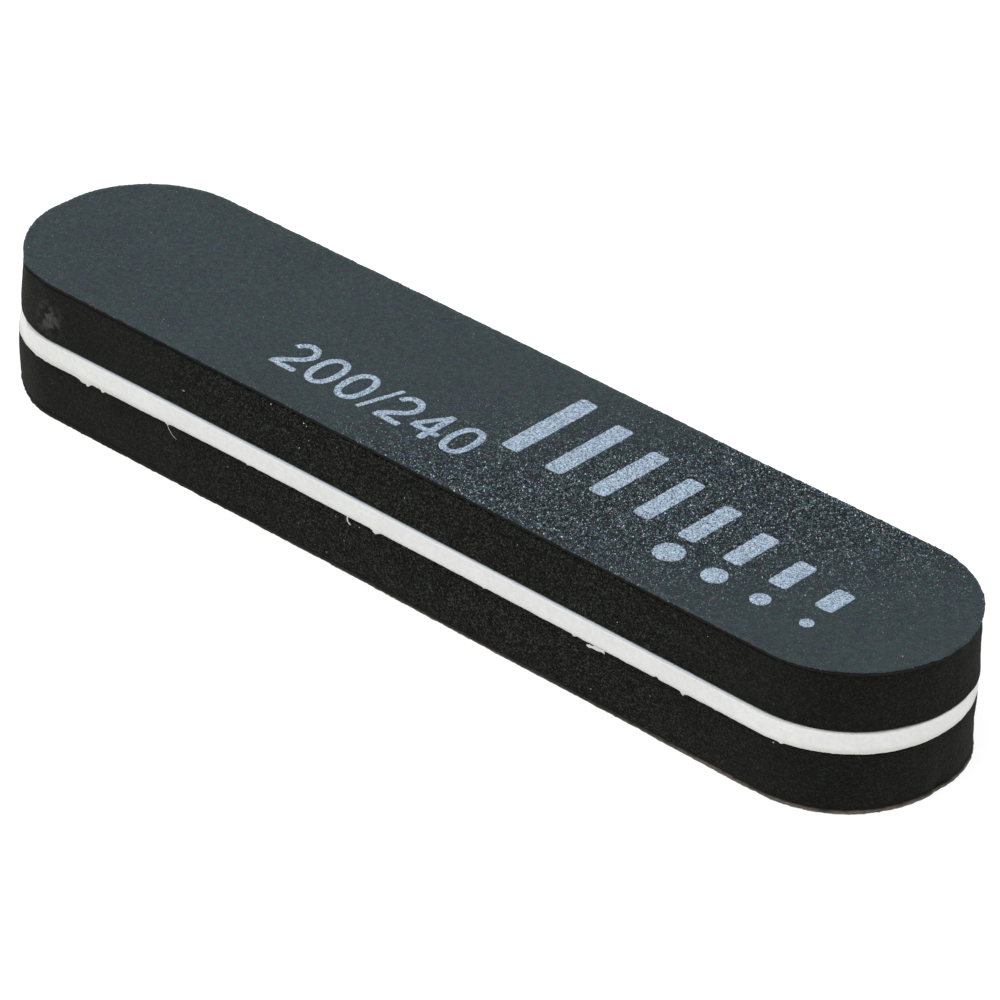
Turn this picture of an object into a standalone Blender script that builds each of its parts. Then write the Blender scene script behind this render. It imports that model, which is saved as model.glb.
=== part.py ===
"""Nail buffer: a bonded sandwich of abrasive sheet, foam, core board, foam and
abrasive sheet, die-cut with nearly full-round ends.

Frame: metres, +Z up, +X along the length, +Y across. The origin is at the centre of
the bounding box's underside, so the buffer stands on z = 0 on its lower abrasive face.
All driving dimensions below are in millimetres.
"""
import math

import bmesh
import bpy
from mathutils import Vector

MM = 0.001

# ---------------------------------------------------------------- driving dimensions
LENGTH = 90.0          # abrasive sheet, end to end
WIDTH = 19.12          # abrasive sheet, side to side
END_RADIUS = 8.95      # corner radius of the die: nearly half the width
ARC_STEPS = 24         # segments in each quarter turn of an end

# thickness of each layer, and the hairline left at each bond between two layers
GRIT_T = 0.10
PAPER_T = 0.16
FILM_T = 0.08
UPPER_FOAM_T = 4.35
CORE_T = 1.80
CORE_BOND_T = 0.08
LOWER_FOAM_T = 4.86
BOND_GAP = 0.02

# the stiff core springs back less than the foam after cutting, so it stands proud
CORE_HALF_LENGTH = 45.30
CORE_HALF_WIDTH = 9.94
CORE_END_RADIUS = 9.35
CORE_EDGE_ROUND = 0.10

# as-cut registration: the layers sheared a little against each other under the die.
# (centre x, centre y, half length, half width, end radius)
TOP_SHEET = (0.20, 0.09, LENGTH / 2, WIDTH / 2, END_RADIUS)
UPPER_FOAM = (0.02, 0.02, 44.95, 9.60, 8.95)
LOWER_FOAM = (-0.075, 0.09, 45.07, 9.56, 8.86)
BOTTOM_SHEET = (-0.01, 0.09, 45.07, 9.56, 8.86)

# foam sides, as outward offsets: at the core, extra at mid height, at the sheet
UPPER_FOAM_SIDE = (0.10, 0.03, -0.12)     # cut from above, so it widens towards the core
LOWER_FOAM_SIDE = (0.02, 0.09, -0.14)
FOAM_RINGS = 6

# print on the upper face: the ink fills the grain coat flush, as a thin inlay
INK_T = 0.03
INK_BELOW = 0.002      # the ink's face lies this far under the tips of the grain
POCKET_T = 0.05        # depth of the coat that the ink takes up
POCKET_GAP = 0.02      # clear space round each mark
PRINT_TURN = math.radians(-0.45)   # the print sits slightly skew to the long side
DIGIT_H = 4.02
DIGIT_W = 2.62
STROKE = 0.60
DIGIT_PITCH = 3.10
MARKS_X = -16.70                   # left foot of the first digit
MARKS_Y = -5.81                    # base line of the numbers

# generic coarse-to-fine scale: bars of falling height over a row of shrinking dots
BARS = 8
BAR_X0 = 4.80
BAR_PITCH = 4.35
BAR_W = 1.70
BAR_TALL = 9.20
BAR_SHORT = 2.90
BAR_BASE_Y = -2.20
BAR_ROUND = 0.32
DOTS = 4
DOT_X0 = 22.60
DOT_PITCH = 4.35
DOT_Y = -4.35
DOT_BIG = 2.50
DOT_SMALL = 1.15


# ---------------------------------------------------------------- clean start
for old in list(bpy.data.objects):
    bpy.data.objects.remove(old, do_unlink=True)


# ---------------------------------------------------------------- materials
def material(name, colour, roughness, metallic=0.0):
    mat = bpy.data.materials.new(name)
    mat.use_nodes = True
    shader = mat.node_tree.nodes["Principled BSDF"]
    shader.inputs["Base Color"].default_value = (*colour, 1.0)
    shader.inputs["Roughness"].default_value = roughness
    shader.inputs["Metallic"].default_value = metallic
    return mat


GRIT_TOP = (0.048, 0.057, 0.066)
GRIT_BOTTOM = (0.040, 0.047, 0.054)
PAPER = (0.185, 0.155, 0.120)
FILM = (0.62, 0.58, 0.47)
FOAM = (0.0125, 0.0125, 0.0115)
CORE = (0.76, 0.76, 0.73)
INK = (0.36, 0.46, 0.58)


# ---------------------------------------------------------------- outlines
def rounded_end_outline(half_x, half_y, radius, steps=ARC_STEPS):
    """Anticlockwise outline of a strip with rounded ends, centred on 0, 0."""
    points = []
    corners = ((1, 1, 0), (-1, 1, 90), (-1, -1, 180), (1, -1, 270))
    for sx, sy, start in corners:
        cx, cy = sx * (half_x - radius), sy * (half_y - radius)
        for i in range(steps + 1):
            a = math.radians(start + 90.0 * i / steps)
            points.append((cx + radius * math.cos(a), cy + radius * math.sin(a)))
    return points


def superellipse(cx, cy, half_x, half_y, power, count):
    out = []
    for i in range(count):
        a = 2 * math.pi * i / count
        c, s = math.cos(a), math.sin(a)
        out.append((cx + half_x * math.copysign(abs(c) ** (2 / power), c),
                    cy + half_y * math.copysign(abs(s) ** (2 / power), s)))
    return out


# ---------------------------------------------------------------- solids
def finish(name, bm, colour, roughness, parent, location, turn=0.0, sharp=35.0):
    bmesh.ops.recalc_face_normals(bm, faces=bm.faces)
    mesh = bpy.data.meshes.new(name)
    bm.to_mesh(mesh)
    bm.free()
    mesh.shade_smooth()
    mesh.set_sharp_from_angle(angle=math.radians(sharp))
    obj = bpy.data.objects.new(name, mesh)
    mesh.materials.append(material(name + "_finish", colour, roughness))
    bpy.context.scene.collection.objects.link(obj)
    obj.parent = parent
    obj.location = [v * MM for v in location]
    obj.rotation_euler = (0.0, 0.0, turn)
    return obj


def lofted_strip(profile, half_x, half_y, radius):
    """Solid from stacked rings; profile lists (height, outward offset), low to high."""
    bm = bmesh.new()
    rings = []
    for z, grow in profile:
        ring = rounded_end_outline(half_x + grow, half_y + grow, radius + grow)
        rings.append([bm.verts.new((x * MM, y * MM, z * MM)) for x, y in ring])
    count = len(rings[0])
    for low, high in zip(rings, rings[1:]):
        for i in range(count):
            j = (i + 1) % count
            bm.faces.new((low[i], low[j], high[j], high[i]))
    bm.faces.new(list(reversed(rings[0])))
    bm.faces.new(rings[-1])
    return bm


def plain_layer(name, where, z, thick, colour, roughness, inset=0.0):
    cx, cy, hx, hy, r = where
    bm = lofted_strip([(0.0, -inset), (thick, -inset)], hx, hy, r)
    return finish(name, bm, colour, roughness, buffer, (cx, cy, z))


def foam_layer(name, where, z, thick, side, neck_at_top):
    """Foam pad whose side is drawn in where the abrasive sheet holds it."""
    cx, cy, hx, hy, r = where
    at_core, bulge, at_sheet = side
    profile = []
    for i in range(FOAM_RINGS + 1):
        t = i / FOAM_RINGS                      # 0 at the core side, 1 at the sheet side
        grow = at_core * (1 - t) + bulge * math.sin(math.pi * t) + at_sheet * t ** 2
        profile.append((t, grow))
    if neck_at_top:
        rings = [(t * thick, g) for t, g in profile]
    else:
        rings = [((1 - t) * thick, g) for t, g in reversed(profile)]
    bm = lofted_strip(rings, hx, hy, r)
    return finish(name, bm, FOAM, 0.95, buffer, (cx, cy, z))


def add_plate(bm, outer, holes, shift, low, high):
    """Adds a flat plate between two heights, from an outline and its holes."""
    edges = []
    for loop in (outer, *holes):
        verts = [bm.verts.new(((x + shift[0]) * MM, (y + shift[1]) * MM, low * MM))
                 for x, y in loop]
        edges += [bm.edges.new((a, b)) for a, b in zip(verts, verts[1:] + verts[:1])]
    filled = bmesh.ops.triangle_fill(bm, use_beauty=True, use_dissolve=False, edges=edges)
    lower = [g for g in filled["geom"] if isinstance(g, bmesh.types.BMFace)]
    for face in lower:
        if face.normal.z > 0:
            face.normal_flip()
    grown = bmesh.ops.extrude_face_region(bm, geom=lower, use_keep_orig=True)
    top = [g for g in grown["geom"] if isinstance(g, bmesh.types.BMVert)]
    bmesh.ops.translate(bm, verts=top, vec=Vector((0.0, 0.0, (high - low) * MM)))


def moved_edge(loop, distance):
    """The loop with every side moved outward by distance (inward if negative)."""
    pts = [Vector(p) for p in loop]
    area = sum(a.x * b.y - b.x * a.y for a, b in zip(pts, pts[1:] + pts[:1]))
    side = 1.0 if area > 0 else -1.0
    out = []
    for i, p in enumerate(pts):
        before = (p - pts[i - 1]).normalized()
        after = (pts[(i + 1) % len(pts)] - p).normalized()
        n1 = Vector((before.y, -before.x)) * side
        n2 = Vector((after.y, -after.x)) * side
        mid = (n1 + n2).normalized()
        step = distance / max(0.5, mid.dot(n1))
        out.append((p.x + mid.x * step, p.y + mid.y * step))
    return out


# ---------------------------------------------------------------- number shapes
def shape_0():
    hx, hy = DIGIT_W / 2, DIGIT_H / 2 + 0.04
    outer = superellipse(hx, DIGIT_H / 2, hx, hy, 2.35, 56)
    inner = superellipse(hx, DIGIT_H / 2, hx - STROKE, hy - 0.53, 2.25, 44)
    return outer, [inner]


def shape_2():
    """A hook, a sweeping diagonal and a foot, as one stroke of even width."""
    centre = []
    cx, cy, rx, ry = 1.30, DIGIT_H - 1.27, 0.985, 0.985
    for i in range(25):                                   # over the top, clockwise
        a = math.radians(172.0 - (172.0 + 28.0) * i / 24)
        centre.append(Vector((cx + rx * math.cos(a), cy + ry * math.sin(a))))
    start = centre[-1]
    heading = Vector((-0.44, -0.88))
    end = Vector((0.38, 0.46))
    for i in range(1, 13):                                # sweep down to the foot
        t = i / 12
        p1 = start + heading * 0.85
        p2 = end + Vector((0.40, 0.62))
        centre.append((1 - t) ** 3 * start + 3 * (1 - t) ** 2 * t * p1
                      + 3 * (1 - t) * t ** 2 * p2 + t ** 3 * end)
    left, right = [], []
    for i, p in enumerate(centre):
        d = (centre[min(i + 1, len(centre) - 1)] - centre[max(i - 1, 0)]).normalized()
        n = Vector((-d.y, d.x)) * STROKE / 2
        left.append(p + n)
        right.append(p - n)
    outer_side = [p for p in left if p.y > STROKE + 0.01]
    inner_side = [p for p in right if p.y > 0.42]
    outline = [(p.x, p.y) for p in outer_side]
    outline += [(0.90, 0.56), (DIGIT_W - 0.02, 0.56), (DIGIT_W - 0.02, 0.0), (0.0, 0.0), (0.02, 0.30)]
    outline += [(p.x, p.y) for p in reversed(inner_side)]
    return outline, []


def shape_4():
    stem_l, stem_r = 1.47, 2.10
    low, high = 0.90, 1.46
    outer = [(stem_l, 0.0), (stem_r, 0.0), (stem_r, low), (2.72, low), (2.72, high),
             (stem_r, high), (stem_r, DIGIT_H - 0.02), (stem_l + 0.10, DIGIT_H - 0.02),
             (0.0, high + 0.05), (0.0, low), (stem_l, low)]
    hole = [(stem_l, high), (stem_l, DIGIT_H - 1.02), (0.62, high)]
    return outer, [hole]


def shape_slash():
    return [(-0.15, -0.05), (0.27, -0.05), (1.42, DIGIT_H + 0.05), (1.00, DIGIT_H + 0.05)], []


def shape_bar(height):
    half_x, half_y = BAR_W / 2, height / 2
    pts = rounded_end_outline(half_x, half_y, BAR_ROUND, steps=5)
    return [(x, y + half_y) for x, y in pts], []


def shape_dot(size):
    return superellipse(0.0, 0.0, size / 2, size / 2, 2.0, 36), []


# ---------------------------------------------------------------- assembly
buffer = bpy.data.objects.new("buffer_datum", None)
bpy.context.scene.collection.objects.link(buffer)

z = 0.0
plain_layer("bottom_grit_coat", BOTTOM_SHEET, z, GRIT_T, GRIT_BOTTOM, 0.85)
z += GRIT_T + BOND_GAP
plain_layer("bottom_backing_paper", BOTTOM_SHEET, z, PAPER_T, PAPER, 0.9)
z += PAPER_T + BOND_GAP
plain_layer("bottom_adhesive_film", BOTTOM_SHEET, z, FILM_T, FILM, 0.5, inset=0.18)
z += FILM_T + BOND_GAP
foam_layer("lower_foam_pad", LOWER_FOAM, z, LOWER_FOAM_T, LOWER_FOAM_SIDE, neck_at_top=False)
z += LOWER_FOAM_T + BOND_GAP
plain_layer("lower_core_adhesive", LOWER_FOAM, z, CORE_BOND_T, FILM, 0.5, inset=0.10)
z += CORE_BOND_T + BOND_GAP

core_bm = lofted_strip([(0.0, 0.0), (CORE_T, 0.0)],
                       CORE_HALF_LENGTH, CORE_HALF_WIDTH, CORE_END_RADIUS)
core = finish("core_board", core_bm, CORE, 0.6, buffer, (0.0, 0.0, z))
ease = core.modifiers.new("eased_edges", "BEVEL")
ease.width = CORE_EDGE_ROUND * MM
ease.segments = 2
ease.limit_method = "ANGLE"
ease.angle_limit = math.radians(60)
z += CORE_T + BOND_GAP

plain_layer("upper_core_adhesive", UPPER_FOAM, z, CORE_BOND_T, FILM, 0.5, inset=0.10)
z += CORE_BOND_T + BOND_GAP
foam_layer("upper_foam_pad", UPPER_FOAM, z, UPPER_FOAM_T, UPPER_FOAM_SIDE, neck_at_top=True)
z += UPPER_FOAM_T + BOND_GAP
plain_layer("top_adhesive_film", TOP_SHEET, z, FILM_T, FILM, 0.5, inset=0.42)
z += FILM_T + BOND_GAP
plain_layer("top_backing_paper", TOP_SHEET, z, PAPER_T, PAPER, 0.9)
z += PAPER_T + BOND_GAP
top_coat = plain_layer("top_grit_coat", TOP_SHEET, z, GRIT_T, GRIT_TOP, 0.8)
z += GRIT_T

# the print: every mark hangs from one datum, which carries the skew
print_datum = bpy.data.objects.new("print_datum", None)
bpy.context.scene.collection.objects.link(print_datum)
print_datum.parent = buffer
print_datum.location = (0.0, 0.0, z * MM)
print_datum.rotation_euler = (0.0, 0.0, PRINT_TURN)

pocket_bm = bmesh.new()    # the room that the marks take in the grain coat


def mark(name, shape, x, y):
    """One ink mark with its face just under the grain tips, and its pocket."""
    outer, holes = shape
    bm = bmesh.new()
    add_plate(bm, outer, holes, (0.0, 0.0), -INK_BELOW - INK_T, -INK_BELOW)
    add_plate(pocket_bm, moved_edge(outer, POCKET_GAP),
              [moved_edge(hole, -POCKET_GAP) for hole in holes],
              (x, y), -POCKET_T, POCKET_T)
    return finish(name, bm, INK, 0.55, print_datum, (x, y, 0.0))


x = MARKS_X
for name, shape, advance in (
        ("grit_mark_a_two", shape_2(), DIGIT_PITCH),
        ("grit_mark_b_zero", shape_0(), DIGIT_PITCH),
        ("grit_mark_c_zero", shape_0(), DIGIT_PITCH),
        ("grit_mark_d_slash", shape_slash(), DIGIT_PITCH / 2),
        ("grit_mark_e_two", shape_2(), DIGIT_PITCH),
        ("grit_mark_f_four", shape_4(), DIGIT_PITCH),
        ("grit_mark_g_zero", shape_0(), DIGIT_PITCH)):
    mark(name, shape, x, MARKS_Y)
    x += advance

for i in range(BARS):
    t = i / (BARS - 1)
    height = BAR_TALL + (BAR_SHORT - BAR_TALL) * t
    mark("scale_bar_%d" % (i + 1), shape_bar(height), BAR_X0 + BAR_PITCH * i, BAR_BASE_Y)

for i in range(DOTS):
    t = i / (DOTS - 1)
    size = DOT_BIG + (DOT_SMALL - DOT_BIG) * t
    mark("scale_dot_%d" % (i + 1), shape_dot(size), DOT_X0 + DOT_PITCH * i, DOT_Y)

pockets = finish("print_pockets", pocket_bm, GRIT_TOP, 0.8, print_datum, (0.0, 0.0, 0.0))
pockets.hide_render = True
pockets.display_type = "WIRE"
inlay = top_coat.modifiers.new("room_for_print", "BOOLEAN")
inlay.operation = "DIFFERENCE"
inlay.object = pockets
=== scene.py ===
"""Looks of the sponge nail buffer: abrasive sheets, foam pads, white core and print.

Every shown layer is a fine mesh made here, in the place of its plain solid. Lengths in
the code are millimetres in the part's own frame, scaled to metres as meshes are made.
"""
import math

import bpy
import numpy as np
from mathutils import Matrix, Vector
from mathutils.geometry import delaunay_2d_cdt


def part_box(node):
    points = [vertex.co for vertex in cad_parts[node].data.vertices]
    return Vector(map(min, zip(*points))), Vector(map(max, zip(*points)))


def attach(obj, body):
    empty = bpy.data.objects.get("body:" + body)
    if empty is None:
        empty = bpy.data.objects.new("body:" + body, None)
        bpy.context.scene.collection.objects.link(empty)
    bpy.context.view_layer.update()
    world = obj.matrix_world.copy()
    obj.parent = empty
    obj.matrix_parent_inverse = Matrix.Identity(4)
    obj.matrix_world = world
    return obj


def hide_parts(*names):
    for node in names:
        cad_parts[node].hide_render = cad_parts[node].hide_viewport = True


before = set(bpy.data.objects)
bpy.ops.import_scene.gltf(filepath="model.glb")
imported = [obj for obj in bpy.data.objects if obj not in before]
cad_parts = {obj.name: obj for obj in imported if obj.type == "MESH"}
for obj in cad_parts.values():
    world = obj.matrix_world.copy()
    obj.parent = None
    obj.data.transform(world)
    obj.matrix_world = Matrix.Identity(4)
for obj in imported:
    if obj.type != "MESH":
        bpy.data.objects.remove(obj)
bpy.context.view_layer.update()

MM = 0.001


# ------------------------------------------------------------------ noise
def hashed(ix, iy, iz, seed):
    """A repeatable random number, 0 to 1, for each point of an integer lattice."""
    n = (ix * 374761393 + iy * 668265263 + iz * 1440662683 + seed * 1013904223) & 0xFFFFFFFF
    n = ((n ^ (n >> 13)) * 1274126177) & 0xFFFFFFFF
    n = n ^ (n >> 16)
    return (n & 0xFFFFFF) / float(0xFFFFFF)


def lumps(points, size, seed):
    """Smooth noise, -1 to 1, with lumps about size mm across (size may be per axis)."""
    q = points / np.asarray(size, float)
    low = np.floor(q)
    f = q - low
    f = f * f * (3 - 2 * f)
    i = low.astype(np.int64)
    out = np.zeros(len(q))
    for dx in (0, 1):
        wx = f[:, 0] if dx else 1 - f[:, 0]
        for dy in (0, 1):
            wy = f[:, 1] if dy else 1 - f[:, 1]
            for dz in (0, 1):
                wz = f[:, 2] if dz else 1 - f[:, 2]
                out += wx * wy * wz * hashed(i[:, 0] + dx, i[:, 1] + dy, i[:, 2] + dz, seed)
    return out * 2 - 1


def cells(points, size, seed):
    """Distance to the nearest of a scatter of cell centres, in cell sizes, and that cell's number 0 to 1."""
    q = points / size
    i = np.floor(q).astype(np.int64)
    best = np.full(len(q), 9.0)
    number = np.zeros(len(q))
    for dx in (-1, 0, 1):
        for dy in (-1, 0, 1):
            for dz in (-1, 0, 1):
                cx, cy, cz = i[:, 0] + dx, i[:, 1] + dy, i[:, 2] + dz
                d = np.sqrt((cx + hashed(cx, cy, cz, seed) - q[:, 0]) ** 2
                            + (cy + hashed(cx, cy, cz, seed + 1) - q[:, 1]) ** 2
                            + (cz + hashed(cx, cy, cz, seed + 2) - q[:, 2]) ** 2)
                near = d < best
                best = np.where(near, d, best)
                number = np.where(near, hashed(cx, cy, cz, seed + 3), number)
    return best, number


# ------------------------------------------------------------------ meshes
def make_piece(name, points, quads, polygons, material, replaces, tris=(), flat=False, places=None):
    """A mesh object from points in mm; it rides on the buffer and stands for its layer.

    places is a plain UV layout, one row for each face corner, for pieces of thousands of grains.
    """
    quads = np.asarray(quads, np.int32).reshape(-1, 4)
    tris = np.asarray(tris, np.int32).reshape(-1, 3)
    polygons = [np.asarray(p, np.int32) for p in polygons]
    starts = list(np.arange(len(quads)) * 4) + list(quads.size + np.arange(len(tris)) * 3)
    at = quads.size + tris.size
    for p in polygons:
        starts.append(at)
        at += len(p)
    mesh = bpy.data.meshes.new(name)
    mesh.vertices.add(len(points))
    mesh.vertices.foreach_set("co", (np.asarray(points) * MM).astype(np.float32).ravel())
    mesh.loops.add(at)
    mesh.loops.foreach_set("vertex_index", np.concatenate([quads.ravel(), tris.ravel()] + polygons))
    mesh.polygons.add(len(starts))
    mesh.polygons.foreach_set("loop_start", np.asarray(starts, np.int32))
    mesh.update(calc_edges=True)
    mesh.validate()
    if places is not None:
        layout = mesh.uv_layers.new(name="OFBake")
        layout.uv.foreach_set("vector", np.asarray(places, np.float32).ravel())
    if flat:
        mesh.shade_flat()
    else:
        mesh.shade_smooth()
    mesh.materials.append(material)
    piece = bpy.data.objects.new(name, mesh)
    bpy.context.scene.collection.objects.link(piece)
    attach(piece, "root")
    if replaces:
        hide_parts(*replaces)
    return piece


class Strip:
    """The outline of one layer: centre, half length, half width and end radius, in mm."""

    def __init__(self, cx, cy, hx, hy, r):
        self.cx, self.cy, self.hx, self.hy, self.r = cx, cy, hx, hy, r

    def outline(self, step):
        """Evenly spaced points and outward normals, anticlockwise, as two (n, 2) arrays."""
        hx, hy, r = self.hx, self.hy, self.r
        lx, ly = hx - r, hy - r
        arc = math.pi * r / 2
        lengths = [2 * ly, arc, 2 * lx, arc, 2 * ly, arc, 2 * lx, arc]
        total = sum(lengths)
        count = 2 * int(round(total / step / 2))
        centres = ((lx, ly), (-lx, ly), (-lx, -ly), (lx, -ly))
        points, normals = [], []
        for k in range(count):
            s = total * k / count
            side = 0
            while side < 7 and s > lengths[side]:
                s -= lengths[side]
                side += 1
            turn = math.radians(90 * (side // 2))
            c, n = math.cos(turn), math.sin(turn)
            if side % 2 == 0:                    # a straight side
                normal = (c, n)
                start = ((hx, -ly), (lx, hy), (-hx, ly), (-lx, -hy))[side // 2]
                point = (start[0] - n * s, start[1] + c * s)
            else:
                a = turn + s / r
                normal = (math.cos(a), math.sin(a))
                mid = centres[side // 2]
                point = (mid[0] + r * normal[0], mid[1] + r * normal[1])
            points.append((point[0] + self.cx, point[1] + self.cy))
            normals.append(normal)
        return np.array(points), np.array(normals)

    def depth(self, x, y):
        """Signed distance outside the outline, and the outward direction there."""
        px, py = x - self.cx, y - self.cy
        qx = np.abs(px) - (self.hx - self.r)
        qy = np.abs(py) - (self.hy - self.r)
        ox, oy = np.maximum(qx, 0), np.maximum(qy, 0)
        out = np.hypot(ox, oy)
        d = out + np.minimum(np.maximum(qx, qy), 0) - self.r
        safe = np.maximum(out, 1e-9)
        flat = out < 1e-9
        nx = np.where(flat, (qx > qy) * 1.0, ox / safe) * np.where(px < 0, -1, 1)
        ny = np.where(flat, (qx <= qy) * 1.0, oy / safe) * np.where(py < 0, -1, 1)
        return d, nx, ny


def ring_faces(rows, count):
    """Quads between stacked rings of count points, low ring first, facing out."""
    i = np.arange(count)
    j = (i + 1) % count
    out = []
    for k in range(rows - 1):
        a, b = k * count, (k + 1) * count
        out.append(np.stack([a + i, a + j, b + j, b + i], 1))
    return np.concatenate(out)


def caps(low, high, strip, step):
    """Quads laid straight across the lowest and the highest ring, facing down and up."""
    base, _ = strip.outline(step)
    count = len(base)
    tip = int(np.argmax(base[:, 0] - 0.001 * np.abs(base[:, 1] - strip.cy)))
    i = np.arange(count // 2)
    a, b = (tip + i) % count, (tip - 1 - i) % count
    up = np.stack([a[:-1], a[1:], b[1:], b[:-1]], 1)
    return np.concatenate([up[:, ::-1] + low, up + high])


def shell_points(strip, profile, step):
    """Rings for a profile of (height, outward offset), each an (n, 3) array, and the normals."""
    base, normals = strip.outline(step)
    rings = []
    for z, grow in profile:
        xy = base + normals * grow
        rings.append(np.column_stack([xy, np.full(len(xy), float(z))]))
    return rings, normals


# ------------------------------------------------------------------ material helpers
class Nodes:
    """Short names for building a node material."""

    def __init__(self, name):
        self.material = bpy.data.materials.new(name)
        self.material.use_nodes = True
        self.tree = self.material.node_tree
        self.shader = self.tree.nodes["Principled BSDF"]
        self.where = self.add("ShaderNodeTexCoord").outputs["Object"]

    def add(self, kind, **settings):
        node = self.tree.nodes.new(kind)
        for key, value in settings.items():
            setattr(node, key, value)
        return node

    def link(self, source, target):
        self.tree.links.new(source, target)

    def put(self, node, **values):
        for key, value in values.items():
            socket = node.inputs[key.replace("_", " ")]
            if hasattr(value, "is_output"):
                self.link(value, socket)
            else:
                socket.default_value = value
        return node

    def noise(self, size, detail=2.0, rough=0.5, stretch=None):
        """Noise texture with lumps about size mm across."""
        node = self.add("ShaderNodeTexNoise")
        self.put(node, Scale=1000.0 / size, Detail=detail, Roughness=rough)
        self.link(self.stretched(stretch), node.inputs["Vector"])
        return node

    def stretched(self, stretch):
        if stretch is None:
            return self.where
        node = self.add("ShaderNodeVectorMath", operation="MULTIPLY")
        self.link(self.where, node.inputs[0])
        node.inputs[1].default_value = stretch
        return node.outputs[0]

    def voronoi(self, size, feature="F1", randomness=1.0, offset=(0, 0, 0)):
        node = self.add("ShaderNodeTexVoronoi", feature=feature)
        self.put(node, Scale=1000.0 / size, Randomness=randomness)
        if any(offset):
            shift = self.add("ShaderNodeVectorMath", operation="ADD")
            self.link(self.where, shift.inputs[0])
            shift.inputs[1].default_value = [v * MM for v in offset]
            self.link(shift.outputs[0], node.inputs["Vector"])
        else:
            self.link(self.where, node.inputs["Vector"])
        return node

    def ramp(self, source, stops, interpolation="LINEAR"):
        node = self.add("ShaderNodeValToRGB")
        node.color_ramp.interpolation = interpolation
        elements = node.color_ramp.elements
        while len(elements) < len(stops):
            elements.new(0.5)
        for element, (at, value) in zip(elements, stops):
            element.position = at
            colour = (value, value, value) if isinstance(value, (int, float)) else value
            element.color = (*colour, 1.0)
        self.link(source, node.inputs[0])
        return node.outputs["Color"]

    def range(self, source, low, high, to_low=0.0, to_high=1.0, smooth=False):
        node = self.add("ShaderNodeMapRange")
        if smooth:
            node.interpolation_type = "SMOOTHSTEP"
        self.link(source, node.inputs["Value"])
        for key, value in (("From Min", low), ("From Max", high), ("To Min", to_low), ("To Max", to_high)):
            node.inputs[key].default_value = value
        return node.outputs["Result"]

    def math(self, operation, a, b=None, c=None, clamp=False):
        node = self.add("ShaderNodeMath", operation=operation, use_clamp=clamp)
        for socket, value in zip(node.inputs, (a, b, c)):
            if value is None:
                continue
            if hasattr(value, "is_output"):
                self.link(value, socket)
            else:
                socket.default_value = value
        return node.outputs[0]

    def mix(self, factor, a, b, blend="MIX"):
        node = self.add("ShaderNodeMix", data_type="RGBA", blend_type=blend)
        for index, value in ((0, factor), (6, a), (7, b)):
            socket = node.inputs[index]
            if hasattr(value, "is_output"):
                self.link(value, socket)
            elif index:
                socket.default_value = (*value, 1.0)
            else:
                socket.default_value = value
        return node.outputs[2]

    def separate(self, source):
        node = self.add("ShaderNodeSeparateXYZ")
        self.link(source, node.inputs[0])
        return node.outputs

    def bump(self, height, strength, distance, normal=None):
        node = self.add("ShaderNodeBump")
        self.put(node, Strength=strength, Distance=distance * MM, Height=height)
        if normal is not None:
            self.link(normal, node.inputs["Normal"])
        return node.outputs["Normal"]

    def facets(self, cell_colour, tilt, normal=None):
        """Each cell's normal is tilted its own way, as flat faces of crushed grains are."""
        centred = self.add("ShaderNodeVectorMath", operation="SUBTRACT")
        self.link(cell_colour, centred.inputs[0])
        centred.inputs[1].default_value = (0.5, 0.5, 0.5)
        scaled = self.add("ShaderNodeVectorMath", operation="SCALE")
        self.link(centred.outputs[0], scaled.inputs[0])
        self.put(scaled, Scale=tilt)
        if normal is None:
            normal = self.add("ShaderNodeNewGeometry").outputs["Normal"]
        summed = self.add("ShaderNodeVectorMath", operation="ADD")
        self.link(normal, summed.inputs[0])
        self.link(scaled.outputs[0], summed.inputs[1])
        unit = self.add("ShaderNodeVectorMath", operation="NORMALIZE")
        self.link(summed.outputs[0], unit.inputs[0])
        return unit.outputs[0]

    def scaled(self, colour, factor):
        node = self.add("ShaderNodeVectorMath", operation="SCALE")
        if hasattr(colour, "is_output"):
            self.link(colour, node.inputs[0])
        else:
            node.inputs[0].default_value = colour
        self.link(factor, node.inputs["Scale"])
        return node.outputs[0]

    def another(self, number, factor):
        """A second number, 0 to 1, from a random one."""
        return self.math("FRACT", self.math("MULTIPLY", number, factor))

    def outside(self, strip):
        """Signed distance outside a strip's outline, in metres."""
        at = self.separate(self.where)
        px = self.math("ABSOLUTE", self.math("SUBTRACT", at[0], strip.cx * MM))
        py = self.math("ABSOLUTE", self.math("SUBTRACT", at[1], strip.cy * MM))
        px = self.math("SUBTRACT", px, (strip.hx - strip.r) * MM)
        py = self.math("SUBTRACT", py, (strip.hy - strip.r) * MM)
        ox, oy = self.math("MAXIMUM", px, 0.0), self.math("MAXIMUM", py, 0.0)
        out = self.math("SQRT", self.math("ADD", self.math("MULTIPLY", ox, ox),
                                          self.math("MULTIPLY", oy, oy)))
        inner = self.math("MINIMUM", self.math("MAXIMUM", px, py), 0.0)
        return self.math("SUBTRACT", self.math("ADD", out, inner), strip.r * MM)

    def near(self, point, reach):
        """1 at a point in mm, falling to 0 at reach mm from it."""
        away = self.add("ShaderNodeVectorMath", operation="DISTANCE")
        self.link(self.where, away.inputs[0])
        away.inputs[1].default_value = [v * MM for v in point]
        return self.range(away.outputs["Value"], 0.0, reach * MM, 1.0, 0.0, smooth=True)


# ------------------------------------------------------------------ layer outlines, in mm
TOP_SHEET = Strip(0.20, 0.09, 45.0, 9.56, 8.95)
UPPER_FOAM = Strip(0.08, 0.02, 44.89, 9.60, 8.95)
LOWER_FOAM = Strip(-0.075, 0.09, 45.07, 9.56, 8.86)
BOTTOM_SHEET = Strip(-0.01, 0.09, 45.07, 9.56, 8.86)
CORE_STRIP = Strip(0.0, 0.0, 45.30, 9.94, 9.35)


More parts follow.
